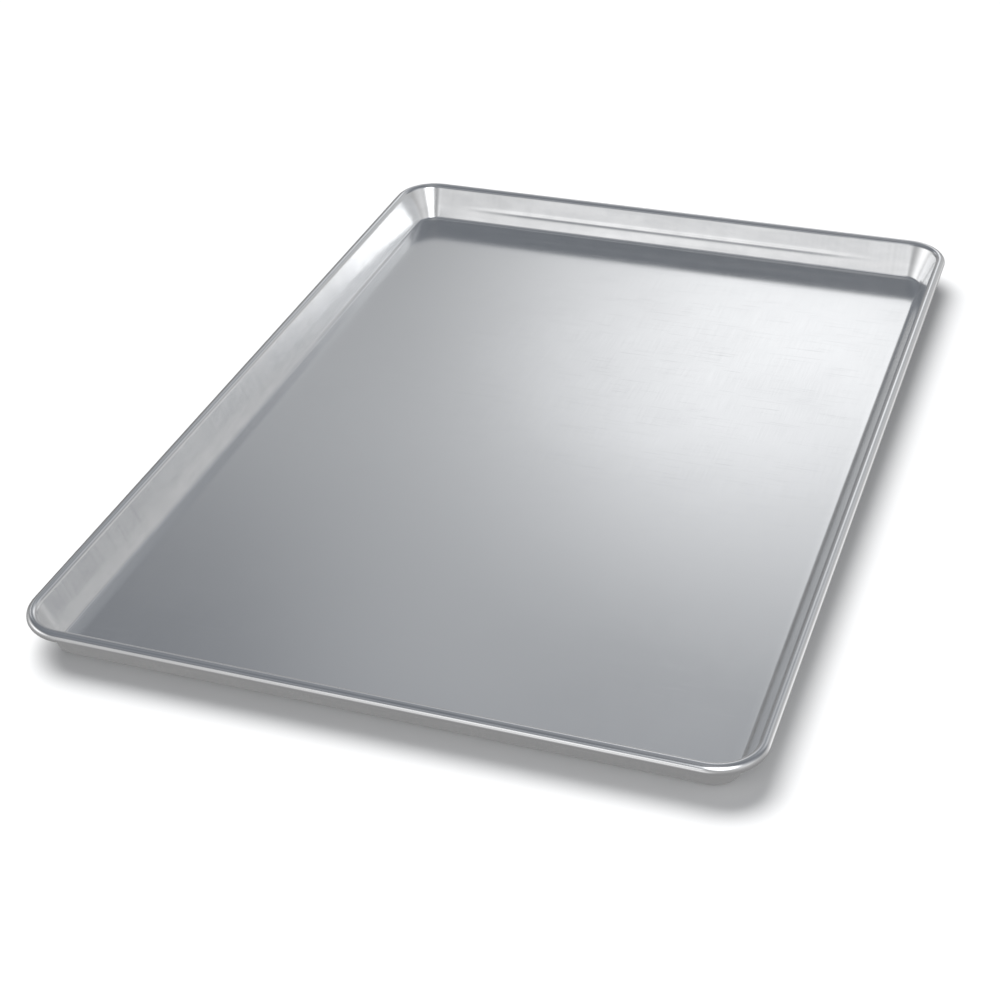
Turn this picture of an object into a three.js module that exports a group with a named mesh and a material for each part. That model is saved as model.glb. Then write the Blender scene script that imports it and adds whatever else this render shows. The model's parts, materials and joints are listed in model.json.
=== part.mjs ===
// Full-size sheet pan: one drawn aluminium sheet, whose top edge is curled outwards and under around a steel wire.
// Millimetres, +Z up, +Y along the length. The origin is the centre of the underside of the floor.
import * as THREE from "three";

// Driving dimensions
const OVERALL_LENGTH = 657; // over the rim, along Y
const OVERALL_WIDTH = 454; // over the rim, along X
const OVERALL_HEIGHT = 27; // underside of the floor to the top of the rim
const SHEET_THICKNESS = 1;
const WALL_LEAN = THREE.MathUtils.degToRad(23); // from upright, so that pans nest
const FLOOR_BEND_RADIUS = 3; // inside of the bend between floor and wall
const FLOOR_CORNER_RADIUS = 12; // plan radius of the flat floor at its corners
const WIRE_DIAMETER = 4.8;
const WIRE_CLEARANCE = 0.3; // between the wire and the curl, all round
const WIRE_END_GAP = 1; // between the two butted ends of the wire
const CURL_SLOT = 0.6; // between the lip of the curl and the wall

// Facets on the round stretches
const CORNER_STEPS = 12;
const BEND_STEPS = 5;
const CURL_STEPS = 18;
const WIRE_SIDES = 16;

const QUARTER_TURN = Math.PI / 2;
const CORNERS = 4;

// Sizes of the section, as reach outwards from the edge of the flat floor and height above its underside
const wireRadius = WIRE_DIAMETER / 2;
const curlInnerRadius = wireRadius + WIRE_CLEARANCE;
const curlOuterRadius = curlInnerRadius + SHEET_THICKNESS;
const upWall = new THREE.Vector2(Math.sin(WALL_LEAN), Math.cos(WALL_LEAN));
const intoPan = new THREE.Vector2(-Math.cos(WALL_LEAN), Math.sin(WALL_LEAN));
const bendCentre = new THREE.Vector2(0, SHEET_THICKNESS + FLOOR_BEND_RADIUS);
const curlHeight = OVERALL_HEIGHT - curlOuterRadius;
const wallFoot = bendCentre.clone().addScaledVector(intoPan, -FLOOR_BEND_RADIUS);
const wallTopHeight = curlHeight + curlOuterRadius * intoPan.y;
const wallSlantLength = (wallTopHeight - wallFoot.y) / upWall.y;
const wallTop = wallFoot.clone().addScaledVector(upWall, wallSlantLength);
const curlCentre = wallTop.clone().addScaledVector(intoPan, -curlOuterRadius);
const wallReach = curlCentre.x + curlOuterRadius;

// Centres of the corner arcs, which the floor, the wall, the curl and the wire all share
const cornerX = OVERALL_WIDTH / 2 - wallReach - FLOOR_CORNER_RADIUS;
const cornerY = OVERALL_LENGTH / 2 - wallReach - FLOOR_CORNER_RADIUS;

function arc(centre, radius, startAngle, endAngle, steps) {
  const clockwise = endAngle < startAngle;
  const curve = new THREE.EllipseCurve(centre.x, centre.y, radius, radius, startAngle, endAngle, clockwise);
  return curve.getPoints(steps);
}

// The sheet's section, from the floor's upper face up the wall, round the curl and back along the outside.
function sheetSection() {
  const bendStart = -QUARTER_TURN;
  const bendEnd = -WALL_LEAN;
  const curlStart = Math.PI - WALL_LEAN;
  const leftOpen = Math.acos((curlInnerRadius - CURL_SLOT) / curlOuterRadius);
  const curlEnd = curlStart - 2 * Math.PI + leftOpen;
  return [
    ...arc(bendCentre, FLOOR_BEND_RADIUS, bendStart, bendEnd, BEND_STEPS),
    ...arc(curlCentre, curlOuterRadius, curlStart, curlEnd, CURL_STEPS),
    ...arc(curlCentre, curlInnerRadius, curlEnd, curlStart, CURL_STEPS),
    ...arc(bendCentre, FLOOR_BEND_RADIUS + SHEET_THICKNESS, bendEnd, bendStart, BEND_STEPS),
  ];
}

// The wire's round section, centred in the curl.
function wireSection() {
  const wholeCircle = arc(curlCentre, wireRadius, Math.PI, -Math.PI, WIRE_SIDES);
  return wholeCircle.slice(1);
}

// Where the section stands around the pan's corners: an arc centre and the direction outwards.
function cornerStations() {
  const stations = [];
  for (let corner = 0; corner < CORNERS; corner += 1) {
    const diagonal = (corner + 0.5) * QUARTER_TURN;
    const x = Math.sign(Math.cos(diagonal)) * cornerX;
    const y = Math.sign(Math.sin(diagonal)) * cornerY;
    for (let step = 0; step <= CORNER_STEPS; step += 1) {
      const angle = (corner + step / CORNER_STEPS) * QUARTER_TURN;
      stations.push({ x, y, outX: Math.cos(angle), outY: Math.sin(angle) });
    }
  }
  return stations;
}

// A section set up at every station, as one list of points, section after section.
function sweepPoints(stations, section) {
  return stations.flatMap(({ x, y, outX, outY }) =>
    section.map((point) => {
      const radius = FLOOR_CORNER_RADIUS + point.x;
      return new THREE.Vector3(x + outX * radius, y + outY * radius, point.y);
    }),
  );
}

// Two triangles between each pair of neighbouring points of neighbouring sections.
function sweepFaces(sections, points, joinSections, joinPoints) {
  const faces = [];
  const lastSection = joinSections ? sections : sections - 1;
  const lastPoint = joinPoints ? points : points - 1;
  for (let section = 0; section < lastSection; section += 1) {
    const here = section * points;
    const next = ((section + 1) % sections) * points;
    for (let point = 0; point < lastPoint; point += 1) {
      const after = (point + 1) % points;
      faces.push([here + point, here + after, next + after]);
      faces.push([here + point, next + after, next + point]);
    }
  }
  return faces;
}

function closedGeometry(points, faces) {
  const geometry = new THREE.BufferGeometry().setFromPoints(points);
  geometry.setIndex(faces.flat());
  geometry.computeVertexNormals();
  return geometry;
}

// Floor, walls and curl are one sheet: the swept section, closed by the two flat faces of the floor.
function panShellGeometry() {
  const section = sheetSection();
  const stations = cornerStations();
  const points = sweepPoints(stations, section);
  const faces = sweepFaces(stations.length, section.length, true, false);
  const floorOutline = stations.map((_, index) => points[index * section.length]);
  for (const [a, b, c] of THREE.ShapeUtils.triangulateShape(floorOutline, [])) {
    const [upperA, upperB, upperC] = [a, b, c].map((index) => index * section.length);
    const toUnderside = section.length - 1;
    faces.push([upperA, upperB, upperC]);
    faces.push([upperC + toUnderside, upperB + toUnderside, upperA + toUnderside]);
  }
  return closedGeometry(points, faces);
}

// The wire runs once round the pan inside the curl, and its ends meet at the middle of the right-hand side.
function rimWireGeometry() {
  const section = wireSection();
  const wireEnd = (y) => ({ x: cornerX, y, outX: 1, outY: 0 });
  const stations = [wireEnd(WIRE_END_GAP / 2), ...cornerStations(), wireEnd(-WIRE_END_GAP / 2)];
  const points = sweepPoints(stations, section);
  const faces = sweepFaces(stations.length, section.length, false, true);
  const lastSection = points.length - section.length;
  for (let side = 1; side < section.length - 1; side += 1) {
    faces.push([0, side + 1, side]);
    faces.push([lastSection, lastSection + side, lastSection + side + 1]);
  }
  return closedGeometry(points, faces);
}

const bareAluminium = new THREE.MeshStandardMaterial({ color: 0xd2d4d7, roughness: 0.32, metalness: 1 });
const galvanisedSteel = new THREE.MeshStandardMaterial({ color: 0xa9adb1, roughness: 0.48, metalness: 1 });

const panShell = new THREE.Mesh(panShellGeometry(), bareAluminium);
panShell.name = "pan_shell";

const rimWire = new THREE.Mesh(rimWireGeometry(), galvanisedSteel);
rimWire.name = "rim_wire";

const sheetPan = new THREE.Group();
sheetPan.add(panShell, rimWire);

export default sheetPan;
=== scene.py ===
"""Full-size aluminium sheet pan on a white studio floor. Metres, in the part's own frame."""

import json
import math
from typing import NamedTuple

import bpy
from mathutils import Matrix, Vector, noise


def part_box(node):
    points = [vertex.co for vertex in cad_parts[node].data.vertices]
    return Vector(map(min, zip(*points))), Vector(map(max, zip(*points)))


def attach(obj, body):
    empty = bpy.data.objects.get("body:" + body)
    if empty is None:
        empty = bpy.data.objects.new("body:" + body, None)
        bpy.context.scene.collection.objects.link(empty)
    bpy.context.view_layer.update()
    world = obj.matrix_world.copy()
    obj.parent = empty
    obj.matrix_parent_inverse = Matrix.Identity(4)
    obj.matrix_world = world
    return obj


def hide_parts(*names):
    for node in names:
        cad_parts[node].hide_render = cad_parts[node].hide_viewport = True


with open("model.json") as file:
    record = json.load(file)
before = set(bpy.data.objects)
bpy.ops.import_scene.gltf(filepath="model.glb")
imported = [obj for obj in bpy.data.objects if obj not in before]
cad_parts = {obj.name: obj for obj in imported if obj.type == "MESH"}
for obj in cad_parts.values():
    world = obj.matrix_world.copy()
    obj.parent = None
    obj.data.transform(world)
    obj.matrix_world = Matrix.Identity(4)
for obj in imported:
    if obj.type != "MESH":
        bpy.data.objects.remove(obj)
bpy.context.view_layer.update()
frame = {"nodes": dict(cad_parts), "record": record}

# Sizes that the frame gives
_, pan_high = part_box("pan_shell")
wire_low, wire_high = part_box("rim_wire")
mount_heights = {mount["name"]: mount["pos_m"][2] for mount in frame["record"]["mounts"]}
SHEET = mount_heights["tray_floor"] - mount_heights["base"]
HALF_WIDTH = pan_high.x
HALF_LENGTH = pan_high.y
WIRE_HEIGHT = (wire_low.z + wire_high.z) / 2
CURL_OUTER = pan_high.z - WIRE_HEIGHT
CURL_INNER = CURL_OUTER - SHEET

# Sizes that repeat the part's own
WALL_LEAN = math.radians(23)
BEND_RADIUS = 0.003
FLOOR_CORNER = 0.012
CURL_SLOT = 0.0006
CORNERS = 4
QUARTER_TURN = math.pi / 2

# What a drawn sheet shows beyond its plain form
FLOOR_CROWN = 0.0003
FLOOR_WAVE = 0.00008
FLOOR_WAVES = 9  # to the metre
FLOOR_WAVE_SLICE = 0.4  # where the floor cuts the noise
FLOOR_WAVE_EDGE = 1 / 6  # inset where the waves reach full height, 0 at the edge and 1 in the middle
WALL_RIPPLE = 0.00005
WALL_RIPPLES = 22  # to the metre
WALL_RIPPLES_UP = 1.5  # from the wall's foot to its top
WALL_RIPPLE_EDGE = 1 / 8  # share of the slant, at the foot and at the top, where the ripples grow
WALL_BULGE = 0.00010  # into the pan at the draw line, straight from there to the foot and to the top
DRAW_LINE_DEPTH = 0.00022
DRAW_LINE_UP = 0.40  # share of the wall's slant
DRAW_LINE_WIDTH = 0.06  # half its width, as a share of the slant
DRAW_LINE_FADE_START = 0.55  # share of the way from the middle of the end wall to its corner
DRAW_LINE_FADE_END = 0.95
DRAW_LINE_SQUARE = 0.95  # cosine of how squarely a wall has to face along the pan to carry the line

# Mesh steps
CORNER_STEPS = 24
LONG_STEPS = 64
SHORT_STEPS = 44
BEND_STEPS = 8
WALL_STEPS = 36
CURL_STEPS = 40
LIP_STEPS = 6

# Materials
NOISE_ROUGHNESS = 0.55  # how much of the fine detail shows in every noise

# Camera, from the photograph's perspective, with angles in degrees
CAMERA_AZIMUTH = 20.374
CAMERA_ELEVATION = 33.445
CAMERA_ROLL = -1.968
CAMERA_AIM = Vector((-0.00525, -0.07862, 0))
CAMERA_DISTANCE = 1.3293
CAMERA_LENS = 72.03  # millimetres
CAMERA_SENSOR = 36


class Panel(NamedTuple):
    """A soft panel of light in the room, in degrees. One of negative strength is a dark card."""

    azimuth: float  # from +Y towards +X
    elevation: float
    half_width: float
    half_height: float
    strength: float


# Studio
STAGE_HALF_SIZE = 30
STAGE_DROP = 0.0001
STAGE_WHITE = 0.70
KEY_AZIMUTH = -50  # degrees from +Y towards +X
KEY_ELEVATION = 60
KEY_SPREAD = 52
KEY_STRENGTH = 4.3
PANELS = {
    "behind": Panel(-5, 28.7, 10, 7.5, 0.75),
    "behind_middle": Panel(-14.8, 29, 7, 6, 0.56),
    "behind_tall": Panel(-23.5, 31.5, 6, 7, 0.10),
    "behind_left": Panel(-29, 28.5, 6, 5, 0.20),
    "behind_right": Panel(24, 32, 17, 16, 0.42),
    "above_left": Panel(-25, 38, 6, 4.5, 0.09),
    "above": Panel(-16, 44, 13, 9, 0.165),
    "overhead": Panel(-35, 66, 45, 12, 0.11),
    "right": Panel(45, 4, 25, 9, 0.17),
    "right_low": Panel(38, -14, 16, 14, 0.60),
    "right_side": Panel(105, 27, 28, 20, 0.48),
    "front": Panel(-166, 13, 9, 12, 0.85),
    "front_low": Panel(-170, -18, 18, 15, 0.55),
    "front_above": Panel(-165, 46, 22, 9, 0.20),
    "left": Panel(-110, 10, 28, 12, 0.95),
    "left_behind": Panel(-50, 29.5, 10, 5, 0.68),
    "dark_left": Panel(-48, 0, 18, 14, -0.26),
}
SOFTBOX_AZIMUTH = 148  # as seen from the pan's far left corner
SOFTBOX_ELEVATION = 29
SOFTBOX_DISTANCE = 1.5
SOFTBOX_WIDTH = 1.5
SOFTBOX_HEIGHT = 1.5
SOFTBOX_FADE = 0.29  # how far from its middle it fades, as a share of its size
SOFTBOX_EDGE = 4  # a higher power fades faster
SOFTBOX_POWER = 15
SKY_STOPS = [  # elevation in degrees, colour
    (-90, (0.28, 0.28, 0.28)),
    (-35, (0.30, 0.30, 0.30)),
    (-10, (0.40, 0.40, 0.40)),
    (0, (0.40, 0.40, 0.40)),
    (18, (0.34, 0.34, 0.345)),
    (27, (0.144, 0.154, 0.169)),
    (40, (0.172, 0.184, 0.204)),
    (50, (0.195, 0.208, 0.230)),
    (60, (0.185, 0.199, 0.219)),
    (74, (0.160, 0.172, 0.190)),
    (90, (0.370, 0.375, 0.385)),
]

# Section of the pan, as reach outwards from the edge of the flat floor and height
up_wall = Vector((math.sin(WALL_LEAN), math.cos(WALL_LEAN)))
into_pan = Vector((-math.cos(WALL_LEAN), math.sin(WALL_LEAN)))
bend_centre = Vector((0, SHEET + BEND_RADIUS))
wall_foot = bend_centre - BEND_RADIUS * into_pan
wall_top_height = WIRE_HEIGHT + CURL_OUTER * into_pan.y
wall_slant = (wall_top_height - wall_foot.y) / up_wall.y
wall_top = wall_foot + wall_slant * up_wall
curl_centre = wall_top - CURL_OUTER * into_pan
wall_reach = curl_centre.x + CURL_OUTER
corner_x = HALF_WIDTH - wall_reach - FLOOR_CORNER
corner_y = HALF_LENGTH - wall_reach - FLOOR_CORNER


class SectionPoint(NamedTuple):
    """A point of the section, the surface that follows it and, on the wall, its share of the way up."""

    place: Vector
    surface: str
    up: float = 0


class Station(NamedTuple):
    """Where the section stands. The flat floor's edge is FLOOR_CORNER outwards from the centre."""

    centre: Vector
    outwards: Vector
    run: float  # along the floor's edge


def smooth(share):
    share = min(max(share, 0), 1)
    return share * share * (3 - 2 * share)


def towards(angle):
    return Vector((math.cos(angle), math.sin(angle)))


def arc(centre, radius, start, end, steps):
    angles = [start + (end - start) * step / steps for step in range(steps + 1)]
    return [centre + radius * towards(angle) for angle in angles]


def wall_points(foot):
    """One face of the wall, between its foot and its top."""
    points = []
    for step in range(1, WALL_STEPS):
        up = step / WALL_STEPS
        points.append(SectionPoint(foot + wall_slant * up * up_wall, "wall", up))
    return points


def sheet_section():
    """From the floor's upper face up the wall, round the curl and its lip, and back down the outside."""
    curl_start = math.pi - WALL_LEAN
    left_open = math.acos((CURL_INNER - CURL_SLOT) / CURL_OUTER)
    mid_radius = (CURL_INNER + CURL_OUTER) / 2
    curl_end = curl_start - 2 * math.pi + left_open + SHEET / 2 / mid_radius
    lip_centre = curl_centre + mid_radius * towards(curl_end)
    inner_bend = arc(bend_centre, BEND_RADIUS, -QUARTER_TURN, -WALL_LEAN, BEND_STEPS)
    inner_wall = wall_points(wall_foot)
    outer_curl = arc(curl_centre, CURL_OUTER, curl_start, curl_end, CURL_STEPS)
    lip = arc(lip_centre, SHEET / 2, curl_end, curl_end - math.pi, LIP_STEPS)
    inner_curl = arc(curl_centre, CURL_INNER, curl_end, curl_start, CURL_STEPS)
    outer_wall = wall_points(wall_foot - SHEET * into_pan)
    outer_bend = arc(bend_centre, BEND_RADIUS + SHEET, -WALL_LEAN, -QUARTER_TURN, BEND_STEPS)
    section = [SectionPoint(place, "wall") for place in inner_bend]
    section += inner_wall
    section += [SectionPoint(place, "bead") for place in outer_curl + lip[1:] + inner_curl[1:]]
    section += reversed(outer_wall)
    section += [SectionPoint(place, "wall") for place in outer_bend]
    return section


def section_lengths(section):
    """How far along the sheet each point of the section lies from the first."""
    lengths = [0]
    for point, after in zip(section, section[1:]):
        lengths.append(lengths[-1] + (after.place - point.place).length)
    return lengths


def stations():
    """Stations anticlockwise from the far right corner, and the whole way round the floor's edge."""
    found = []
    run = 0
    for corner in range(CORNERS):
        diagonal = towards((corner + 0.5) * QUARTER_TURN)
        centre = Vector((math.copysign(corner_x, diagonal.x), math.copysign(corner_y, diagonal.y)))
        for step in range(CORNER_STEPS + 1):
            share = step / CORNER_STEPS
            outwards = towards((corner + share) * QUARTER_TURN)
            found.append(Station(centre, outwards, run + FLOOR_CORNER * QUARTER_TURN * share))
        run += FLOOR_CORNER * QUARTER_TURN
        ahead = Vector((-outwards.y, outwards.x))
        side, steps = (2 * corner_x, SHORT_STEPS) if corner % 2 == 0 else (2 * corner_y, LONG_STEPS)
        for step in range(1, steps):
            along = side * step / steps
            found.append(Station(centre + ahead * along, outwards, run + along))
        run += side
    return found, run


def draw_line(station, up):
    """The faint groove along the middle of each end wall, which fades out before the corners."""
    across = abs(station.centre.x) / corner_x
    faded = smooth((across - DRAW_LINE_FADE_START) / (DRAW_LINE_FADE_END - DRAW_LINE_FADE_START))
    on_end_wall = smooth((abs(station.outwards.y) - DRAW_LINE_SQUARE) / (1 - DRAW_LINE_SQUARE))
    offset = (up - DRAW_LINE_UP) / DRAW_LINE_WIDTH
    return -DRAW_LINE_DEPTH * on_end_wall * (1 - faded) * math.exp(-offset * offset)


def wall_shift(station, up):
    """How far the wall stands into the pan from its plain form, nothing at its foot and its top."""
    place = station.centre * WALL_RIPPLES
    ripple = WALL_RIPPLE * noise.noise(Vector((place.x, place.y, up * WALL_RIPPLES_UP)))
    bulge = WALL_BULGE * min(up / DRAW_LINE_UP, (1 - up) / (1 - DRAW_LINE_UP))
    inside = smooth(up / WALL_RIPPLE_EDGE) * smooth((1 - up) / WALL_RIPPLE_EDGE)
    return bulge + (ripple + draw_line(station, up)) * inside


def floor_rise(x, y):
    """The floor's slight crown and waves, nothing at its edge."""
    inset_x = 1 - (x / (corner_x + FLOOR_CORNER)) ** 2
    inset_y = 1 - (y / (corner_y + FLOOR_CORNER)) ** 2
    wave = FLOOR_WAVE * noise.noise(Vector((x * FLOOR_WAVES, y * FLOOR_WAVES, FLOOR_WAVE_SLICE)))
    inside = smooth(min(inset_x, inset_y) / FLOOR_WAVE_EDGE)
    return FLOOR_CROWN * max(inset_x * inset_y, 0) + wave * inside


class MeshLists:
    """Points and faces of a mesh in the making, each face with its surface and its place on the sheet."""

    def __init__(self):
        self.points = []
        self.faces = []
        self.surfaces = []
        self.places = []

    def add_point(self, x, y, z):
        self.points.append((x, y, z))
        return len(self.points) - 1

    def add_face(self, corners, surface, places):
        self.faces.append(corners)
        self.surfaces.append(surface)
        self.places.extend(places)


def add_column(lists, section, station):
    """The section's points at one station."""
    column = []
    for point in section:
        shift = wall_shift(station, point.up) if point.up else 0
        pushed = point.place + into_pan * shift
        plan = station.centre + station.outwards * (FLOOR_CORNER + pushed.x)
        column.append(lists.add_point(plan.x, plan.y, pushed.y))
    return column


def add_wall_ring(lists):
    """The walls and the curl. Returns the rings of points at the floor's upper face and its underside."""
    section = sheet_section()
    lengths = section_lengths(section)
    ring, whole_run = stations()
    runs = [station.run for station in ring] + [whole_run]
    columns = [add_column(lists, section, station) for station in ring]
    for index, column in enumerate(columns):
        following = columns[(index + 1) % len(columns)]
        run, next_run = runs[index], runs[index + 1]
        for step, point in enumerate(section[:-1]):
            corners = (column[step], column[step + 1], following[step + 1], following[step])
            low, high = lengths[step], lengths[step + 1]
            places = [(run, low), (run, high), (next_run, high), (next_run, low)]
            lists.add_face(corners, point.surface, places)
    return [column[0] for column in columns], [column[-1] for column in columns]


def add_floor_face(lists, ring, height, facing_up):
    """One face of the floor: a grid whose outer points are the ring's."""
    columns = SHORT_STEPS + CORNER_STEPS
    rows = LONG_STEPS + CORNER_STEPS
    start = CORNER_STEPS // 2
    edge = ring[start:] + ring[:start]  # from the middle of the far right corner
    grid = {}
    for column in range(columns + 1):
        grid[column, rows] = edge[columns - column]
        grid[column, 0] = edge[columns + rows + column]
    for row in range(rows + 1):
        grid[0, row] = edge[columns + rows - row]
        grid[columns, row] = edge[(2 * columns + rows + row) % len(edge)]
    for column in range(1, columns):
        x = lists.points[grid[column, 0]][0]
        for row in range(1, rows):
            y = lists.points[grid[0, row]][1]
            grid[column, row] = lists.add_point(x, y, height + floor_rise(x, y))
    for column in range(columns):
        for row in range(rows):
            near = [grid[column, row], grid[column + 1, row]]
            far = [grid[column + 1, row + 1], grid[column, row + 1]]
            corners = near + far
            if not facing_up:
                corners.reverse()
            places = [lists.points[corner][:2] for corner in corners]
            lists.add_face(corners, "floor", places)


def make_object(name, lists, materials):
    """A smooth mesh object, with a map named sheet that holds each face's place on the sheet in metres."""
    mesh = bpy.data.meshes.new(name)
    mesh.from_pydata(lists.points, [], lists.faces)
    names = list(materials)
    for material in materials.values():
        mesh.materials.append(material)
    sheet_map = mesh.uv_layers.new(name="sheet")
    sheet_map.uv.foreach_set("vector", [value for place in lists.places for value in place])
    mesh.polygons.foreach_set("material_index", [names.index(surface) for surface in lists.surfaces])
    mesh.polygons.foreach_set("use_smooth", [True] * len(lists.faces))
    mesh.update()
    piece = bpy.data.objects.new(name, mesh)
    bpy.context.scene.collection.objects.link(piece)
    return piece


def add_node(tree, kind, inputs=None, **settings):
    node = tree.nodes.new(kind)
    for name, value in settings.items():
        setattr(node, name, value)
    for name, value in (inputs or {}).items():
        if isinstance(value, bpy.types.NodeSocket):
            tree.links.new(value, node.inputs[name])
        else:
            node.inputs[name].default_value = value
    return node


def math_node(tree, operation, *values):
    node = add_node(tree, "ShaderNodeMath", dict(enumerate(values)), operation=operation)
    return node.outputs["Value"]


def new_material(name):
    material = bpy.data.materials.new(name)
    material.use_nodes = True
    return material, material.node_tree, material.node_tree.nodes["Principled BSDF"]


def new_metal(name):
    material, tree, shader = new_material(name)
    shader.inputs["Metallic"].default_value = 1
    return material, tree, shader


def sheet_noise(tree, along, across, detail=2, turn=0):
    """Noise over the sheet, with so many grains to the metre each way."""
    place = add_node(tree, "ShaderNodeUVMap", uv_map="sheet").outputs["UV"]
    scaling = {"Vector": place, "Rotation": (0, 0, turn), "Scale": (along, across, 1)}
    scaled = add_node(tree, "ShaderNodeMapping", scaling).outputs["Vector"]
    grains = {"Vector": scaled, "Scale": 1, "Detail": detail, "Roughness": NOISE_ROUGHNESS}
    return add_node(tree, "ShaderNodeTexNoise", grains, noise_dimensions="2D").outputs["Fac"]


def space_noise(tree, scale, detail=3):
    """Noise in the part's own space, so it runs on past corners and seams."""
    place = add_node(tree, "ShaderNodeTexCoord").outputs["Object"]
    grains = {"Vector": place, "Scale": scale, "Detail": detail, "Roughness": NOISE_ROUGHNESS}
    return add_node(tree, "ShaderNodeTexNoise", grains).outputs["Fac"]


def spread(tree, value, low, high, start=0.3, end=0.7):
    """A noise value between start and end, spread from low to high."""
    limits = {"Value": value, "From Min": start, "From Max": end, "To Min": low, "To Max": high}
    return add_node(tree, "ShaderNodeMapRange", limits).outputs["Result"]


def tint(tree, value, dark, light):
    ramp = add_node(tree, "ShaderNodeValToRGB", {"Fac": value})
    ramp.color_ramp.elements[0].color = (*dark, 1)
    ramp.color_ramp.elements[1].color = (*light, 1)
    return ramp.outputs["Color"]


def bump(tree, height, distance):
    return add_node(tree, "ShaderNodeBump", {"Height": height, "Distance": distance}).outputs["Normal"]


def floor_aluminium():
    """Mill finish sheet: fine rolling grain along the pan, faint wiped patches and a few light scratches."""
    material, tree, shader = new_metal("floor_aluminium")
    grain = sheet_noise(tree, along=1400, across=30)
    patches = space_noise(tree, scale=7)
    scratches = sheet_noise(tree, along=26, across=1100, detail=0, turn=math.radians(28))
    patched = spread(tree, patches, low=0.12, high=0.17)
    grained = spread(tree, grain, low=-0.015, high=0.015)
    scratched = spread(tree, scratches, low=0, high=0.05, start=0.74, end=0.80)
    rough = math_node(tree, "ADD", math_node(tree, "ADD", patched, grained), scratched)
    colour = tint(tree, patches, dark=(0.875, 0.88, 0.885), light=(0.91, 0.913, 0.917))
    tree.links.new(rough, shader.inputs["Roughness"])
    tree.links.new(colour, shader.inputs["Base Color"])
    tree.links.new(bump(tree, grain, distance=0.0000015), shader.inputs["Normal"])
    return material


def wall_aluminium():
    """The drawn wall: satin, with faint upright drawing lines, soft smudges and long scuffs."""
    material, tree, shader = new_metal("wall_aluminium")
    lines = sheet_noise(tree, along=400, across=12, detail=1)
    smudges = space_noise(tree, scale=36)
    scuffs = sheet_noise(tree, along=55, across=150, detail=3)
    smudged = spread(tree, smudges, low=0.18, high=0.24)
    lined = spread(tree, lines, low=-0.01, high=0.01)
    scuff_share = 0.65
    line_marks = math_node(tree, "MULTIPLY", lines, 1 - scuff_share)
    marks = math_node(tree, "MULTIPLY_ADD", scuffs, scuff_share, line_marks)
    shade = spread(tree, marks, low=0, high=1, start=0.38, end=0.62)
    colour = tint(tree, shade, dark=(0.885, 0.89, 0.896), light=(0.93, 0.933, 0.937))
    tree.links.new(math_node(tree, "ADD", smudged, lined), shader.inputs["Roughness"])
    tree.links.new(colour, shader.inputs["Base Color"])
    tree.links.new(bump(tree, lines, distance=0.0000002), shader.inputs["Normal"])
    return material


def bead_aluminium():
    """The curled rim: rubbed smooth along its top, with fine lines the way it was rolled."""
    material, tree, shader = new_metal("bead_aluminium")
    lines = sheet_noise(tree, along=25, across=2600)
    rubs = space_noise(tree, scale=45)
    rubbed = spread(tree, rubs, low=0.13, high=0.20)
    lined = spread(tree, lines, low=-0.02, high=0.02)
    colour = tint(tree, rubs, dark=(0.86, 0.865, 0.875), light=(0.92, 0.923, 0.93))
    tree.links.new(math_node(tree, "ADD", rubbed, lined), shader.inputs["Roughness"])
    tree.links.new(colour, shader.inputs["Base Color"])
    tree.links.new(bump(tree, lines, distance=0.0000008), shader.inputs["Normal"])
    return material


def galvanised_steel():
    """Zinc spangle, dull and bluish."""
    material, tree, shader = new_metal("galvanised_steel")
    place = add_node(tree, "ShaderNodeTexCoord").outputs["Object"]
    spangle = add_node(tree, "ShaderNodeTexVoronoi", {"Vector": place, "Scale": 350.0}).outputs["Color"]
    level = add_node(tree, "ShaderNodeSeparateColor", {"Color": spangle}).outputs["Red"]
    colour = tint(tree, level, dark=(0.50, 0.52, 0.54), light=(0.66, 0.68, 0.70))
    rough = spread(tree, level, low=0.38, high=0.55, start=0, end=1)
    tree.links.new(colour, shader.inputs["Base Color"])
    tree.links.new(rough, shader.inputs["Roughness"])
    return material


def make_pan():
    lists = MeshLists()
    upper_ring, under_ring = add_wall_ring(lists)
    add_floor_face(lists, upper_ring, SHEET, facing_up=True)
    add_floor_face(lists, under_ring, 0, facing_up=False)
    surfaces = {"floor": floor_aluminium(), "wall": wall_aluminium(), "bead": bead_aluminium()}
    pan = make_object("sheet_pan", lists, surfaces)
    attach(pan, "root")
    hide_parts("pan_shell")


def finish_wire():
    wire = frame["nodes"]["rim_wire"]
    wire.data.materials.clear()
    wire.data.materials.append(galvanised_steel())


def direction(azimuth, elevation):
    """From the pan, with azimuth from +Y towards +X, in degrees."""
    azimuth, elevation = math.radians(azimuth), math.radians(elevation)
    level = math.cos(elevation)
    return Vector((math.sin(azimuth) * level, math.cos(azimuth) * level, math.sin(elevation)))


def add_camera():
    back = direction(180 - CAMERA_AZIMUTH, CAMERA_ELEVATION)
    right = direction(90 - CAMERA_AZIMUTH, 0)
    upright = Matrix((right, back.cross(right), back)).transposed()
    turned = upright @ Matrix.Rotation(math.radians(CAMERA_ROLL), 3, "Z")
    lens = bpy.data.cameras.new("camera")
    lens.sensor_width = CAMERA_SENSOR
    lens.lens = CAMERA_LENS
    camera = bpy.data.objects.new("camera", lens)
    camera.matrix_world = Matrix.Translation(CAMERA_AIM + back * CAMERA_DISTANCE) @ turned.to_4x4()
    bpy.context.scene.collection.objects.link(camera)
    bpy.context.scene.camera = camera


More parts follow.
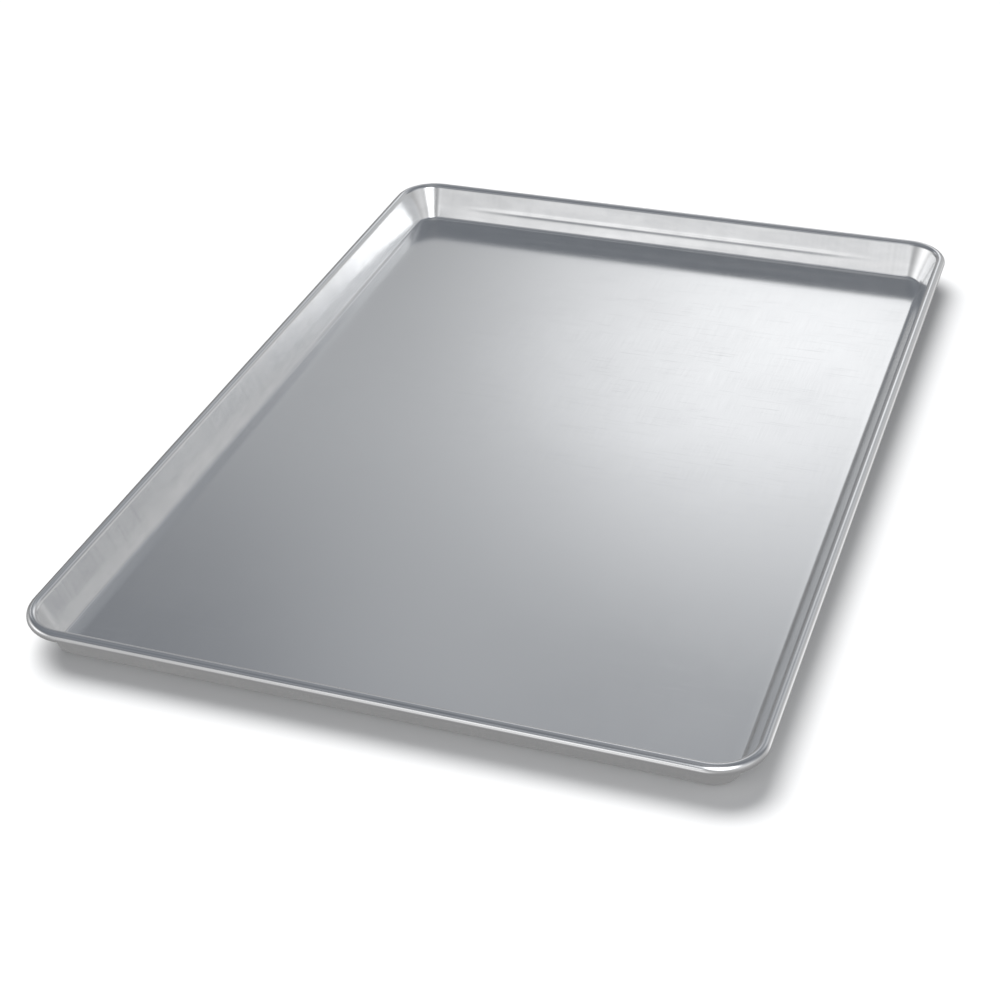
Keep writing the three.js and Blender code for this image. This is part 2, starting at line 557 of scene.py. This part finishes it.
def add_stage():
    """A plain white floor just under the pan, which the metal doesn't mirror."""
    material, _, shader = new_material("studio_white")
    shader.inputs["Base Color"].default_value = (STAGE_WHITE, STAGE_WHITE, STAGE_WHITE, 1)
    shader.inputs["Roughness"].default_value = 1
    shader.inputs["Specular IOR Level"].default_value = 0
    reach = STAGE_HALF_SIZE
    plan = [(-reach, -reach), (reach, -reach), (reach, reach), (-reach, reach)]
    mesh = bpy.data.meshes.new("studio_floor")
    mesh.from_pydata([(x, y, -STAGE_DROP) for x, y in plan], [], [(0, 1, 2, 3)])
    mesh.materials.append(material)
    floor = bpy.data.objects.new("studio_floor", mesh)
    floor.visible_glossy = False
    bpy.context.scene.collection.objects.link(floor)


def add_lamp(light, away):
    """A lamp turned to shine from the direction given as away."""
    lamp = bpy.data.objects.new(light.name, light)
    lamp.rotation_mode = "QUATERNION"
    lamp.rotation_quaternion = away.to_track_quat("Z", "Y")
    bpy.context.scene.collection.objects.link(lamp)
    return lamp


def add_key_light():
    """A wide soft key from behind on the left, which lights the floor and isn't mirrored in the metal."""
    key = bpy.data.lights.new("key", "SUN")
    key.energy = KEY_STRENGTH
    key.angle = math.radians(KEY_SPREAD)
    lamp = add_lamp(key, direction(KEY_AZIMUTH, KEY_ELEVATION))
    lamp.visible_glossy = False


def fade_from_middle(softbox):
    """Lets the light fade from the middle of its face, which runs from 0 to 1 both ways."""
    softbox.use_nodes = True
    tree = softbox.node_tree
    place = add_node(tree, "ShaderNodeNewGeometry").outputs["Parametric"]
    ends = {0: place, 1: (0.5, 0.5, 0)}
    off = add_node(tree, "ShaderNodeVectorMath", ends, operation="DISTANCE").outputs["Value"]
    share = math_node(tree, "DIVIDE", off, SOFTBOX_FADE)
    drop = math_node(tree, "MULTIPLY", math_node(tree, "POWER", share, SOFTBOX_EDGE), -1)
    fade = math_node(tree, "EXPONENT", drop)
    tree.links.new(fade, tree.nodes["Emission"].inputs["Strength"])


def add_softbox():
    """A softbox on the right in front, bright in its middle, which the far left corner mirrors."""
    softbox = bpy.data.lights.new("softbox", "AREA")
    softbox.shape = "RECTANGLE"
    softbox.size = SOFTBOX_WIDTH
    softbox.size_y = SOFTBOX_HEIGHT
    softbox.energy = SOFTBOX_POWER
    fade_from_middle(softbox)
    away = direction(SOFTBOX_AZIMUTH, SOFTBOX_ELEVATION)
    lamp = add_lamp(softbox, away)
    lamp.location = Vector((-HALF_WIDTH, HALF_LENGTH, 0)) + SOFTBOX_DISTANCE * away
    lamp.visible_camera = False


def panel_glow(tree, azimuth, elevation, panel):
    """The panel's light towards the pan, brightest at the panel's middle."""
    aside = math_node(tree, "SUBTRACT", azimuth, math.radians(panel.azimuth))
    shortest = math_node(tree, "WRAP", aside, math.pi, -math.pi)
    across = math_node(tree, "DIVIDE", shortest, math.radians(panel.half_width))
    above = math_node(tree, "SUBTRACT", elevation, math.radians(panel.elevation))
    along = math_node(tree, "DIVIDE", above, math.radians(panel.half_height))
    off = math_node(tree, "MULTIPLY_ADD", along, along, math_node(tree, "MULTIPLY", across, across))
    fade = math_node(tree, "EXPONENT", math_node(tree, "MULTIPLY", off, -1))
    return math_node(tree, "MULTIPLY", fade, panel.strength)


def room_gradient(tree, up):
    """The room's grey by height. The ramp runs from straight down at 0 to straight up at 1."""
    height = math_node(tree, "MULTIPLY_ADD", up, 0.5, 0.5)
    ramp = add_node(tree, "ShaderNodeValToRGB", {"Fac": height})
    elements = ramp.color_ramp.elements
    for angle, colour in SKY_STOPS[1:-1]:
        elements.new((1 + math.sin(math.radians(angle))) / 2).color = (*colour, 1)
    elements[0].color = (*SKY_STOPS[0][1], 1)
    elements[-1].color = (*SKY_STOPS[-1][1], 1)
    return ramp.outputs["Color"]


def add_sky():
    """A grey room with soft panels for the metal to mirror, and a plain white backdrop for the camera."""
    world = bpy.data.worlds.new("studio")
    world.use_nodes = True
    tree = world.node_tree
    outlook = add_node(tree, "ShaderNodeTexCoord").outputs["Generated"]
    place = add_node(tree, "ShaderNodeSeparateXYZ", {"Vector": outlook}).outputs
    azimuth = math_node(tree, "ARCTAN2", place["X"], place["Y"])
    elevation = math_node(tree, "ARCSINE", place["Z"])
    room = room_gradient(tree, place["Z"])
    for panel in PANELS.values():
        glow = panel_glow(tree, azimuth, elevation, panel)
        room = add_node(tree, "ShaderNodeVectorMath", {0: room, 1: glow}, operation="ADD").outputs["Vector"]
    background = tree.nodes["Background"]
    tree.links.new(room, background.inputs["Color"])
    seen = add_node(tree, "ShaderNodeLightPath").outputs["Is Camera Ray"]
    backdrop = add_node(tree, "ShaderNodeBackground", {"Color": (1, 1, 1, 1)}).outputs["Background"]
    ends = {0: seen, 1: background.outputs["Background"], 2: backdrop}
    both = add_node(tree, "ShaderNodeMixShader", ends).outputs["Shader"]
    tree.links.new(both, tree.nodes["World Output"].inputs["Surface"])
    bpy.context.scene.world = world


add_camera()
make_pan()
finish_wire()
add_stage()
add_key_light()
add_softbox()
add_sky()
bpy.context.scene.view_settings.view_transform = "Standard"
